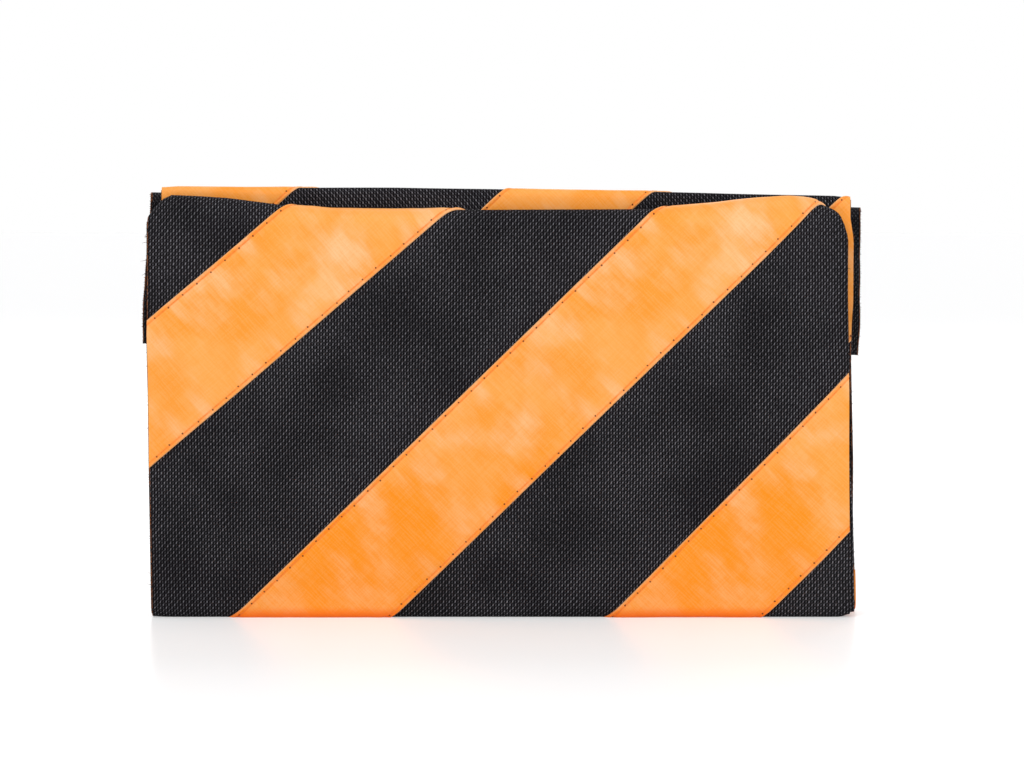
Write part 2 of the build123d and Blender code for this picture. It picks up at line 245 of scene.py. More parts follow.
# How the front mouth's edge rises and dips along its length, how its corners drop, and how each half hangs
FRONT_MOUTH = [(-135, -3.0), (-133.2, -0.2), (-130, 2.8), (-127, 4.9), (-115, 4.4), (-104, 3.6), (-85.5, 1.2),
               (-69, -0.8), (-38, -1.1), (51, -0.8), (61.5, -0.5), (85, 1.7), (100.5, 3.7), (112, 4.5), (119, 3.6),
               (123, 2.6), (126, 0.9), (130, -0.6), (132.5, -2.2), (134, -5.0), (135, -8.5)]
SADDLE_TILT = [(-135, 2.5), (-100, 2.2), (-40, 2.3), (30, 1.2), (80, 0.2), (130, -1.0), (138, -1.3)]
REAR_TILT = [(-140, 2.6), (0, 0.3), (142, -3.4)]
FLAP_LOW = [(-140, 1.0), (80, -1.0), (142, -3.7)]
# How far the side edges wander sideways, by height: the front half's, its back cloth's, and the saddle's
LEFT_SWAY = [(0, 0.0), (60, -0.6), (85, -0.7), (110, -1.1), (160, -0.6)]
RIGHT_SWAY = [(0, 1.2), (18, 0.8), (60, 0.2), (90, 0.0), (125, -0.9), (160, -1.3)]
BACK_SWAY = [(0, 1.4), (40, 1.2), (60, 0.0)]
SADDLE_SWAY = [(60, 0.0), (100, -1.1), (115, -0.8), (122, -0.3), (148, -0.3), (156, -1.6)]


def eased(x, z, foot, top, broad, small, share):
    """How far a free face eases outwards: from nothing at its foot, top and sides, in broad and small waves.

    Each wave is its size in millimetres and its seed. The cloth keeps its length at the fold that it stands on.
    """
    held = ease(0.0, foot, z) * (1 - ease(*top, z)) * (1 - ease(BAG_HALF - 14 * MM, BAG_HALF, abs(x)))
    swell = 1.0 + 0.9 * wave(x, z, broad[0] * MM, broad[1]) + share * wave(x, z, small[0] * MM, small[1])
    return swell * MM * held


def fold(x, s, h):
    """Point of the folded bag for a point of the flat cloth: x across it, s along it and h above its middle."""
    # The front mouth's edge rises and falls: the cloth goes over it sooner or later.
    rise = between(x, FRONT_MOUTH) if s < STARTS[FRONT_FOLD] else 0.0
    behind = 0.0
    if s < STARTS[FRONT] - rise:
        behind = max(0.0, -rise - s)
        s = max(0.0, s + rise)
    elif s < STARTS[FRONT] + 1e-9:
        s, behind = STARTS[FRONT], s - STARTS[FRONT]
        rise = 0.0
    else:
        rise = 0.0
    index = part_at(s)
    y, z, ny, nz = COURSE[index].at(s - STARTS[index])
    z += rise - behind
    if index == SADDLE_FOLD:
        # The top of the saddle slopes down to the back.
        share = (s - STARTS[SADDLE_FOLD]) / COURSE[SADDLE_FOLD].length
        z -= 0.9 * MM * ease(0.26, 0.42, share) * (1 - ease(0.5, 1.0, share))
    out = abs(h)
    side = 1 if h > 0 else -1
    edge = ease(BAG_HALF - 7 * MM, BAG_HALF, abs(x))
    out -= edge * min(0.5 * MM, out)
    if side > 0 and index <= FRONT_FOLD:
        out += eased(x, z, 22 * MM, (FRONT_EDGE - 3 * MM, FRONT_EDGE + 3 * MM), (62, 1), (24, 2), 0.35)
    elif side > 0 and index >= REAR_FOLD:
        out += eased(x, z, 25 * MM, (70 * MM, 100 * MM), (60, 3), (26, 4), 0.3)
    elif abs(x) < BAG_HALF:
        out += 0.1 * MM * wave(x, z, 35 * MM, 5 + index)
    y += side * out * ny
    z += side * out * nz
    half_way = (STARTS[FRONT_FOLD] + STARTS[FRONT_SADDLE]) / 2
    shift = REAR_SHIFT * (ease(half_way, STARTS[FRONT_SADDLE], s) if index < FRONT_SADDLE else 1.0)
    if index >= REAR_SADDLE:
        # The two rear halves lie a little askew, further to the right at the bottom.
        shift += 2.0 * MM * (1 - ease(0, 70 * MM, z))
    right, left = ease(95 * MM, BAG_HALF, x), ease(-95 * MM, -BAG_HALF, x)
    if index <= FRONT_FOLD:
        shift += left * between(z, LEFT_SWAY) + right * between(z, RIGHT_SWAY)
        if h < 0.3 * MM:
            shift += right * between(z, BACK_SWAY) * (1 - ease(half_way, STARTS[FRONT_SADDLE], s))
    elif index <= REAR_SADDLE:
        shift += left * 1.6 * MM * ease(90 * MM, 155 * MM, z) + right * between(z, SADDLE_SWAY)
    x += shift
    if FRONT_FOLD < index < REAR_FOLD:
        z += between(x, SADDLE_TILT) * ease(40 * MM, SADDLE_HIGH, z)
    elif index == REAR:
        z += between(x, REAR_TILT) * ease(60 * MM, REAR_EDGE, z)
    if index in (FRONT, FRONT_FOLD):
        z += 0.7 * MM * ease(133 * MM, 136 * MM, x) * (1 - ease(0, 9 * MM, z))
    if index > FRONT_FOLD:
        # Behind the front half, the right end of each lower fold is off the table.
        z += 1.3 * MM * ease(95 * MM, 134 * MM, x) * (1 - ease(0, 30 * MM, z))
    return Vector((x, y, max(z, 0.02 * MM)))


# ---- materials --------------------
def linear(hex_colour):
    """Linear RGBA of an sRGB hex colour."""
    values = [int(hex_colour[i:i + 2], 16) / 255 for i in (1, 3, 5)]
    return [v / 12.92 if v <= 0.04045 else ((v + 0.055) / 1.055) ** 2.4 for v in values] + [1.0]


def connect(value, socket):
    """Feeds an input socket with a value, a socket, or the first output that a node shows."""
    if isinstance(value, bpy.types.Node):
        value = next(output for output in value.outputs if output.enabled)
    if isinstance(value, bpy.types.NodeSocket):
        socket.id_data.links.new(value, socket)
    else:
        socket.default_value = value


MODES = {"Math": "operation", "VectorMath": "operation", "MapRange": "interpolation_type", "Mix": "data_type"}


def add_node(tree, kind, *feeds, named=None, **settings):
    """Adds a shader node and returns it.

    kind is the node's type, with its mode after it where it has one. feeds go to the inputs that the mode shows,
    in their order, and named goes by an input's name.
    """
    kind, _, mode = kind.partition(" ")
    node = tree.nodes.new("ShaderNode" + kind)
    if mode:
        setattr(node, MODES[kind], mode)
    for name, value in settings.items():
        setattr(node, name, value)
    shown = [socket for socket in node.inputs if socket.enabled]
    pairs = list(zip(shown, feeds)) + [(node.inputs[name], value) for name, value in (named or {}).items()]
    for socket, value in pairs:
        connect(value, socket)
    return node


def material(name, sockets):
    """New material, what adds nodes to it, and its Principled shader with constants on the shader's own sockets."""
    made = bpy.data.materials.new(name)
    made.use_nodes = True
    shader = made.node_tree.nodes["Principled BSDF"]
    for socket, value in sockets.items():
        shader.inputs[socket].default_value = value
    return made, partial(add_node, made.node_tree), shader


def finish(add, shader, colour, height, strength, depth):
    """Gives a shader its colour, and a bump of depth metres from a height."""
    bump = add("Bump", named={"Height": height, "Strength": strength, "Distance": depth})
    connect(colour, shader.inputs["Base Color"])
    connect(bump, shader.inputs["Normal"])


def in_mm(add, layer):
    """Coordinates of a piece's own flat cloth, in millimetres."""
    return add("Mapping", add("UVMap", uv_map=layer), named={"Scale": (1 / MM, 1 / MM, 1)})


def weighed(add, *parts):
    """Sum of nodes, each times its weight."""
    total = None
    for node, weight in parts:
        share = add("Math MULTIPLY", node, weight)
        total = add("Math ADD", total, share) if total else share
    return total


def ridges(add, split, count=1):
    """Two crossing sets of slanting ridges, count of them to a cell of the split coordinates."""
    ways = [add("Math " + way, split.outputs["X"], split.outputs["Y"]) for way in ("SUBTRACT", "ADD")]
    return [add("Math COSINE", add("Math MULTIPLY", way, 2 * math.pi * count)) for way in ways]


def woven(name, pitch, rise, colours, depth, sockets, lean=0.5, bright=1.0):
    """Coarse coated cloth: thick threads over a dark ground, with the glints of their tops painted as lighter colour
    in slanting rows, and painted sheen in broad patches.

    pitch and rise are a cell's width and height in millimetres. lean is how much one set of ridges leads.
    """
    made, add, shader = material(name, sockets)
    vec = in_mm(add, "cloth")
    drift = add("TexNoise", vec, 0.05, 2.0)
    pulled = add("VectorMath MULTIPLY", drift.outputs["Color"], (0.9, 0.9, 0.0))
    moved = add("VectorMath ADD", vec, pulled)
    cells = add("SeparateXYZ", add("Mapping", moved, named={"Scale": (1 / pitch, 1 / rise, 1)}))
    rising, falling = ridges(add, cells)
    # One set of ridges is stronger than the other, and which one changes slowly over the cloth.
    swap = add("TexNoise", vec, 0.013, 1.0)
    share = add("MapRange SMOOTHSTEP", swap, 0.40, 0.60, lean, 0.34)
    lines = add("Math MAXIMUM",
                add("Math MULTIPLY", add("MapRange SMOOTHSTEP", falling, 0.55, 1.0),
                    add("Math ADD", share, 0.35)),
                add("Math MULTIPLY", add("MapRange SMOOTHSTEP", rising, 0.55, 1.0),
                    add("Math SUBTRACT", 0.8, share)))
    # Thread tops stand in columns, two to a cell, and their painted glints show most where a ridge crosses them.
    wide = add("Math COSINE", add("Math MULTIPLY", cells.outputs["X"], 4 * math.pi))
    columns = add("MapRange SMOOTHSTEP", wide, 0.0, 1.0)
    ticks = add("Math MULTIPLY", columns, add("MapRange SMOOTHSTEP", falling, -0.4, 0.9, 0.42, 1.0))
    # Between the ridges the single threads make a finer mesh.
    fine_rising, fine_falling = ridges(add, cells, 2)
    mesh = add("Math MAXIMUM", add("MapRange SMOOTHSTEP", fine_falling, 0.2, 1.0),
               add("Math MULTIPLY", add("MapRange SMOOTHSTEP", fine_rising, 0.2, 1.0), 0.7))
    threads = weighed(add, (lines, 0.14), (ticks, 0.62), (mesh, 0.28))
    threads = add("MapRange SMOOTHSTEP", threads, 0.12, 0.98, 0.0, 0.85)
    grain = add("TexNoise", vec, 0.9, 2.0, 0.7)
    rough = add("Math MULTIPLY", threads, add("MapRange SMOOTHSTEP", grain, 0.25, 0.7, 0.35, 1.35))
    # Painted sheen: broad lighter and darker patches stand in for the light on the cloth's soft undulations.
    patch = add("TexNoise", vec, 0.028, 3.0)
    patches = add("MapRange SMOOTHSTEP", patch, 0.33, 0.68, 0.72 * bright, 1.3 * bright)
    level = add("Math MULTIPLY", rough, patches)
    # The colour runs from the dark ground up to the painted glint colour of the thread tops.
    colour = add("Mix RGBA", level, *[linear(each) for each in colours])
    finish(add, shader, colour, threads, 0.7, depth * MM)
    return made


def orange_satin(settings):
    """Orange satin-faced polyester strip, with pale painted highlights on the puckering that runs in from its
    stitches, fine thread lines, and painted shade towards the table.
    """
    made, add, shader = material("orange_satin_strip", {
        "Roughness": 0.5, "Specular IOR Level": 0.2, "Sheen Weight": 0.08, "Sheen Roughness": 0.45,
        "Sheen Tint": linear("#FFD9A8")})
    highlight_orange, hem_and_shade_orange = linear(settings.orange_highlight), linear(settings.orange_hem_and_shade)
    vec = in_mm(add, "strip")
    split = add("SeparateXYZ", vec)
    inward = add("Math SUBTRACT", STRIP_HALF / MM, add("Math ABSOLUTE", split.outputs["Y"]))

    def spread(scale, turn=0.0, size=1.0, detail=1.0, rough=0.5):
        """Noise stretched along or across the strip."""
        turned = add("Mapping", vec, named={"Rotation": (0, 0, turn), "Scale": (*scale, 1)})
        return add("TexNoise", turned, size, detail, rough)

    # Threads are under 0.2 mm apart; they are drawn wider so that they show.
    grain = add("TexNoise", vec, 1.6, 1.0)
    threads = add("Math ADD", add("Math MULTIPLY", spread((1 / 0.6, 0.09), 0.22), 0.5),
                  weighed(add, (spread((0.06, 1 / 0.6)), 0.28), (grain, 0.22)))
    # Painted highlights on the puckering start at the stitches and fade inwards; broader painted highlight streaks
    # lie across the strip.
    folds = spread((0.105, 0.028), 0.35, detail=2.0, rough=0.45)
    puckers = add("Math MULTIPLY", add("MapRange SMOOTHSTEP", folds, 0.47, 0.70),
                  add("MapRange SMOOTHSTEP", inward, 1.5, 17.0, 1.0, 0.0))
    highlight_streaks = spread((0.05, 0.03), -0.3, detail=3.0, rough=0.55)
    pale = add("Math MAXIMUM", add("Math MULTIPLY", puckers, 0.65),
               add("MapRange SMOOTHSTEP", highlight_streaks, 0.46, 0.78))
    pale = add("Math MULTIPLY", pale, add("MapRange SMOOTHSTEP", threads, 0.36, 0.6, 0.72, 1.0))
    # Painted shade: deeper orange towards the table and in broad darker patches of the undulating cloth; the painted
    # highlights also fade towards the table.
    height = add("SeparateXYZ", add("TexCoord").outputs["Object"]).outputs["Z"]
    low = add("MapRange SMOOTHSTEP", height, 0.0, 95 * MM, 1.0, 0.0)
    broad = add("MapRange SMOOTHSTEP", add("TexNoise", vec, 0.03, 2.0), 0.38, 0.62, 0.65, 0.0)
    depth = add("Math ADD", add("Math MULTIPLY", low, 0.95), broad)
    base = add("Mix RGBA", depth, linear(settings.orange), linear(settings.orange_shade))
    less = add("Math SUBTRACT", 0.85, add("Math MULTIPLY", low, 0.45))
    base = add("Mix RGBA", add("Math MULTIPLY", pale, less), base, highlight_orange)
    # The hem: a pale painted highlight along the very edge, deeper colour up to the stitches, and painted shade in
    # the needle holes.
    wander = add("TexNoise", vec, 0.12, 0.0)
    shaken = add("Math ADD", split.outputs["X"], add("Math MULTIPLY", wander, 1.6))
    near = add("Math PINGPONG", shaken, STITCH / MM / 2)
    line = add("Math ADD", add("Math SUBTRACT", inward, HEM / MM),
               add("MapRange SMOOTHSTEP", wander, 0.3, 0.7, -0.25, 0.25))
    # Painted shade in the needle holes: a dark dot at each, which the bump also presses in.
    hole = add("Math SQRT", add("Math ADD", add("Math MULTIPLY", near, near),
                                      add("Math MULTIPLY", line, line)))
    dot = add("MapRange SMOOTHSTEP", hole, 0.12, 0.5, 1.0, 0.0)
    hem = add("Math MULTIPLY", add("MapRange SMOOTHSTEP", inward, 1.5, 2.1, 0.5, 0.0),
              add("MapRange SMOOTHSTEP", inward, 0.7, 1.4, 0.3, 1.0))
    # Each of these is laid over the colour so far: thread tops, thread gaps, hem, painted edge highlight, painted
    # shade near the table and painted shade in the holes.
    for share, colour in (
            (add("MapRange SMOOTHSTEP", threads, 0.42, 0.62, 0.0, 0.13), highlight_orange),
            (add("MapRange SMOOTHSTEP", threads, 0.36, 0.52, 0.07, 0.0), hem_and_shade_orange),
            (hem, hem_and_shade_orange),
            (add("MapRange SMOOTHSTEP", inward, 0.1, 0.55, 0.5, 0.0), highlight_orange),
            (add("MapRange SMOOTHSTEP", height, 0.3 * MM, 5.0 * MM, 0.85, 0.0), hem_and_shade_orange),
            (dot, linear(settings.needle_hole_shade))):
        base = add("Mix RGBA", share, base, colour)
    rise = add("Math SUBTRACT", add("Math MULTIPLY", threads, 0.35),
               add("Math MULTIPLY", dot, 2.5))
    rise = add("Math ADD", rise, add("Math MULTIPLY", highlight_streaks, 2.0))
    finish(add, shader, base, rise, 0.5, 0.2 * MM)
    return made


def flecked(name, first, second, size, sockets, depth=0.1):
    """Finish with fine grain of a size in millimetres, on the object's own coordinates."""
    made, add, shader = material(name, sockets)
    grain = add("TexNoise", add("TexCoord").outputs["Object"], 1 / (size * MM), 4.0)
    share = add("MapRange SMOOTHSTEP", grain, 0.35, 0.65)
    colour = add("Mix RGBA", share, linear(first), linear(second))
    finish(add, shader, colour, grain, 0.4, depth * MM)
    return made


def all_materials(settings):
    """Every finish of the bag by its short name."""
    dull = {"Roughness": 0.85, "Specular IOR Level": 0.2}
    coated = {"Roughness": 0.85, "Specular IOR Level": 0.05}
    blacks = (settings.cloth_dark, settings.thread_glint)
    smooth_yarn = {"Roughness": 0.6, "Specular IOR Level": 0.3}
    zip_yarn = {"Roughness": 0.7, "Specular IOR Level": 0.2}
    return {
        # Coated oxford: nearly matt, with the glints of its threads painted, and its paired threads make cells of
        # 2.24 by 2.57 mm.
        "oxford": woven("black_oxford_cloth", settings.weave_width / MM, settings.weave_height / MM, blacks, 0.25,
                        coated, 0.72),
        # The same yarn in the closing flaps, woven finer and ribbed.
        "flap": woven("ribbed_black_cloth", 1.5, 2.0, blacks, 0.18, coated, 0.8, 0.7),
        "satin": orange_satin(settings),
        "raw": flecked("raw_cloth_edge", settings.raw_edge, "#17110F", 0.9, dull),
        "thread": flecked("orange_polyester_thread", "#FA9636", "#F07E22", 0.5, {"Roughness": 0.6}),
        "black_thread": flecked("black_polyester_thread", "#2A2A2D", "#3A3A3E", 0.5, {"Roughness": 0.5}),
        # Webbing and tapes: smooth filament yarn, so a little glossier than the coated cloth.
        "webbing": woven("black_webbing", 2.2, 3.2, blacks, 0.35, smooth_yarn, 0.95),
        "tape": woven("zip_tape_weave", 1.1, 1.3, blacks, 0.1, zip_yarn, 0.5, 0.6),
        # Loop pile scatters light; hook tape shows rows of glossy filament hooks, whose glints are painted.
        "loop": flecked("loop_pile", "#101012", "#2B2B2F", 0.7, {"Roughness": 0.95, "Sheen Weight": 0.4}, 0.7),
        "hook": woven("hook_rows", 1.4, 1.8, blacks, 0.5, {"Roughness": 0.5, "Specular IOR Level": 0.4}, 0.5, 0.8),
        # Moulded acetal is satin, and the die-cast zinc of slider and pull is lacquered black.
        "plastic": flecked("black_acetal_teeth", "#121214", "#1B1B1E", 0.4, {"Roughness": 0.35}, 0.02),
        "metal": flecked("black_lacquered_zinc", "#16161A", "#202025", 1.2,
                         {"Roughness": 0.3, "Metallic": 0.6, "Coat Weight": 0.3}, 0.02),
    }


FINISHES = {}


# ---- mesh helpers --------------------
def sheet_grid(bm, x0, x1, rows, lift):
    """Flat grid of cloth from x0 to x1, one row of vertices at each of the rows."""
    columns = max(1, round((x1 - x0) / ROW))
    made = bmesh.ops.create_grid(bm, x_segments=columns, y_segments=len(rows) - 1, size=0.5)
    last = len(rows) - 1
    for v in made["verts"]:
        v.co = (x0 + (v.co.x + 0.5) * (x1 - x0), rows[round((v.co.y + 0.5) * last)], lift)
    keep_flat(bm)


def keep_flat(bm):
    """Stores the flat cloth's own coordinates on its faces, so that patterns follow the cloth."""
    uv = bm.loops.layers.uv.new("cloth")
    for face in bm.faces:
        for loop in face.loops:
            loop[uv].uv = loop.vert.co.xy


def cut(bm, axis, places, drop=0):
    """Cuts the flat mesh across axis 0 or 1 at each place; drop, 1 or -1, clears what lies past it on that side."""
    for place in places:
        co, no = Vector((0, 0, 0)), Vector((0, 0, 0))
        co[axis], no[axis] = place, drop or 1
        geom = bm.verts[:] + bm.edges[:] + bm.faces[:]
        bmesh.ops.bisect_plane(bm, geom=geom, plane_co=co, plane_no=no, clear_outer=bool(drop), dist=SNAP)


def paint(bm, index):
    """Gives the whole mesh one of its piece's materials."""
    for face in bm.faces:
        face.material_index = index


def raw_border(bm, half, width, ways):
    """Gives the sides of a flat cloth, -1 left and 1 right, a narrow border of frayed yarn, material 1."""
    for way in ways:
        cut(bm, 0, [way * (half - width)])
        for face in bm.faces:
            if face.calc_center_median().x * way > half - width:
                face.material_index = 1


def thicken(bm, level):
    """Turns a flat grid into a closed slab whose other side is at a level; its rim gets material 1."""
    made = bmesh.ops.extrude_face_region(bm, geom=bm.faces[:], use_keep_orig=True)
    for v in made["geom"]:
        if isinstance(v, bmesh.types.BMVert):
            v.co.z = level
    bm.normal_update()
    for face in bm.faces:
        if abs(face.normal.z) < 0.5:
            face.material_index = 1


def join(whole, part):
    """Moves one mesh into another. Small meshes are made apart and joined, which is much quicker."""
    mesh = bpy.data.meshes.new("part")
    part.to_mesh(mesh)
    part.free()
    whole.from_mesh(mesh)
    bpy.data.meshes.remove(mesh)


def loose_threads(whole, ends, draw):
    """Short tapered threads of material 1 that stand out of a raw edge; ends gives each one's foot and way out."""
    batch = bmesh.new()
    for number, (foot, way) in enumerate(ends):
        length = draw.uniform(0.25, 0.6) if draw.random() < 0.975 else draw.uniform(1.2, 2.4)
        turn = Matrix.Rotation(way * (math.pi / 2 + draw.gauss(0, 0.4)), 4, "Y")
        turn = turn @ Matrix.Rotation(draw.gauss(0, 0.6), 4, "X")
        place = Matrix.Translation(foot) @ turn @ Matrix.Translation((0, 0, length * MM / 2))
        bmesh.ops.create_cone(batch, segments=3, radius1=0.13 * MM, radius2=0.04 * MM, depth=length * MM,
                              cap_ends=True, matrix=place)
        if (number + 1) % BATCH == 0 or number == len(ends) - 1:
            paint(batch, 1)
            join(whole, batch)
            batch = bmesh.new()
    batch.free()


def shaped(bm, name, finishes, shape=None, sharp=50):
    """Makes the mesh's object, with its vertices placed by shape."""
    if shape:
        for v in bm.verts:
            v.co = shape(*v.co)
    bmesh.ops.recalc_face_normals(bm, faces=bm.faces[:])
    mesh = bpy.data.meshes.new(name)
    bm.to_mesh(mesh)
    bm.free()
    mesh.shade_smooth()
    mesh.set_sharp_from_angle(angle=math.radians(sharp))
    for finish in finishes:
        mesh.materials.append(FINISHES[finish])
    made = bpy.data.objects.new(name, mesh)
    bpy.context.scene.collection.objects.link(made)
    return made


def bend(y0, reach, lean=0.0):
    """Start and end of a bend whose planes lean back by lean for each metre up."""
    step = reach / (1 + lean * lean)
    start = Vector((0, y0, 0))
    return start, start + Vector((0, step, -lean * step))


# The bodies that each fold's pieces join, and where they bend
SADDLE_GAP = 1.2 * MM      # saddle half's inside to where its fold's bend starts
BENDS = {
    "front": ("front_end", "front_saddle", *bend(FRONT_AXIS - 1.6 * MM, 3.0 * MM, 0.030)),
    "saddle": ("front_saddle", "rear_saddle", *bend(FRONT_SADDLE_MID + PANEL / 2 + SADDLE_GAP,
                                                    2 * (SADDLE_TURN - PANEL / 2 - SADDLE_GAP))),
    "rear": ("rear_saddle", "rear_end", *bend(REAR_AXIS - 0.12 * MM, 0.24 * MM)),
}
# The stretch of the course that each fold's pieces cover
SPLIT_ONE = along(FRONT_SADDLE, SADDLE_SPLIT)
SPLIT_TWO = along(REAR_SADDLE, SADDLE_SPLIT)
END = STARTS[8]
SPANS = {"front": (0.0, SPLIT_ONE), "saddle": (SPLIT_ONE, SPLIT_TWO), "rear": (SPLIT_TWO, END)}
# The CAD cloth and strips that each side of each fold stands for
CLOTH_NODES = {
    ("front", 1): ["front_end_face_cloth", "front_mouth_fold"], ("front", -1): ["front_end_zip_cloth"],
    ("saddle", 1): ["front_saddle_back_cloth", "rear_saddle_front_cloth"],
    ("saddle", -1): ["front_saddle_front_cloth", "rear_saddle_back_cloth"],
    ("rear", 1): ["rear_end_zip_cloth"], ("rear", -1): ["rear_end_face_cloth"],
}
STRIP_NODES = {
    ("front", 1): ["front_end_strips"], ("front", -1): ["front_end_under_strips"],
    ("saddle", 1): ["rear_saddle_strips"], ("saddle", -1): ["front_saddle_strips"],
    ("rear", 1): ["rear_end_strips"], ("rear", -1): ["rear_end_under_strips"],
}
SIDE_NAMES = {1: "outer", -1: "under"}
SIDES = [(group, side) for group in BENDS for side in SIDE_NAMES]
ZIPPED = {("front", -1), ("rear", 1)}      # the cloths that carry a zip
MOUTH_COLUMNS = (-133.5, -131.0, 128.5, 130.5, 133.0, 134.3)   # more columns at the front mouth's corners, mm


def join_bodies(piece):
    """Bakes a fold's piece's transform into its mesh."""
    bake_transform(piece)


def span_of(group, side):
    """Stretch of a cloth along the course: only the outer cloth of the front half goes over its mouth."""
    s0, s1 = SPANS[group]
    if group == "front" and side < 0:
        s0 = STARTS[FRONT]
    return s0, s1


def open_slit(bm, zipper):
    """Cuts the slit behind a zip out of the flat cloth that carries it."""
    tapes, slider, stops = (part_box(zipper + node) for node in ("_zip_tapes", "_zip_slider", "_zip_stops"))
    part, shift = (FRONT, 0.0) if zipper == "front" else (REAR, REAR_SHIFT)
    x0, x1 = slider[0].x - SLIT_END - shift, stops[1].x + SLIT_END - shift
    centre = along(part, (tapes[0].z + tapes[1].z) / 2)
    low, high = centre - SLIT_HALF, centre + SLIT_HALF
    cut(bm, 0, [x0, x1])
    cut(bm, 1, [low, high])
    inside = [face for face in bm.faces if x0 < face.calc_center_median().x < x1
              and low < face.calc_center_median().y < high]
    bmesh.ops.delete(bm, geom=inside, context="FACES")


def make_cloths(settings):
    """Both cloths of each fold, with the slit behind the zip in the ones that carry it."""
    for group, side in SIDES:
        bm = bmesh.new()
        sheet_grid(bm, -BAG_HALF, BAG_HALF, rows_between(*span_of(group, side)), side * PANEL / 2)
        if (group, side) in ZIPPED:
            open_slit(bm, group)
        if group == "front":
            cut(bm, 0, [x * MM for x in MOUTH_COLUMNS])
        raw_border(bm, BAG_HALF, settings.raw_width, (-1,) if group == "front" else (-1, 1))
        thicken(bm, side * (PANEL / 2 - CLOTH))
        if group == "front":
            # Its right edge is turned in, so no raw yarn shows there.
            for face in bm.faces:
                if face.calc_center_median().x > 0:
                    face.material_index = 0
        piece = shaped(bm, f"{group}_{SIDE_NAMES[side]}_cloth", ["oxford", "raw"], fold)
        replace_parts(piece, *CLOTH_NODES[group, side])
        join_bodies(piece)


# ---- strips --------------------
# Height of a strip above the cloth at distances in from its edge, in millimetres: a turned hem, the groove
# of the stitch line, and the flat middle
HEM_PROFILE = [(0.0, 0.05), (0.12, 0.45), (0.4, 0.70), (0.8, 0.72), (1.2, 0.56), (1.5, 0.42), (1.9, 0.52),
               (2.8, 0.64), (4.5, 0.62), (7.0, 0.57), (11.0, 0.52), (16.0, 0.50), (21.75, 0.50)]
# How thick the strips of each fold and side lie, and how freely they pucker: the ones pressed between two
# halves lie flat
LIE = {("front", 1): (1.2, 1.0), ("front", -1): (0.85, 0.15), ("saddle", 1): (1.0, 0.15),
       ("saddle", -1): (0.85, 0.06), ("rear", 1): (1.2, 0.8), ("rear", -1): (0.8, 0.04)}


def strips_of(side):
    """Centre lines of the strips of one side: (x, s) of a point, change of x along s, and half width."""
    lines = []
    if side > 0:
        foot = along(FRONT, 0.0)
        for x, slope, half in ((-236.0, 1.161, 21.7), (-72.6, 1.028, 21.75), (72.2, 0.975, 21.6)):
            lines.append((x * MM, foot, -slope, half * MM))
        grown = 1.05 * (COURSE[FRONT_FOLD].growth + COURSE[SADDLE_FOLD].growth)
        for n in range(1, 6):
            lines.append(((69.2 + 143.9 * n) * MM + grown, foot, -1.05, STRIP_HALF))
    else:
        head = along(FRONT_SADDLE, 163.5 * MM)
        for x, half in ((-113.7, 21.75), (26.6, 19.9), (161.8, 21.75)):
            lines.append((x * MM, head, 1.05, half * MM))
        for n in range(1, 4):
            lines.append(((-112.2 - 143.9 * n) * MM, head, 1.05, STRIP_HALF))
            lines.append(((164.4 + 143.9 * n) * MM, head, 1.05, STRIP_HALF))
    return lines


def axes_of(line):
    """Direction of a strip on the flat cloth, the way across it, and its length for each unit of s."""
    run = math.hypot(line[2], 1)
    return Vector((line[2] / run, 1 / run)), Vector((1 / run, -line[2] / run)), run


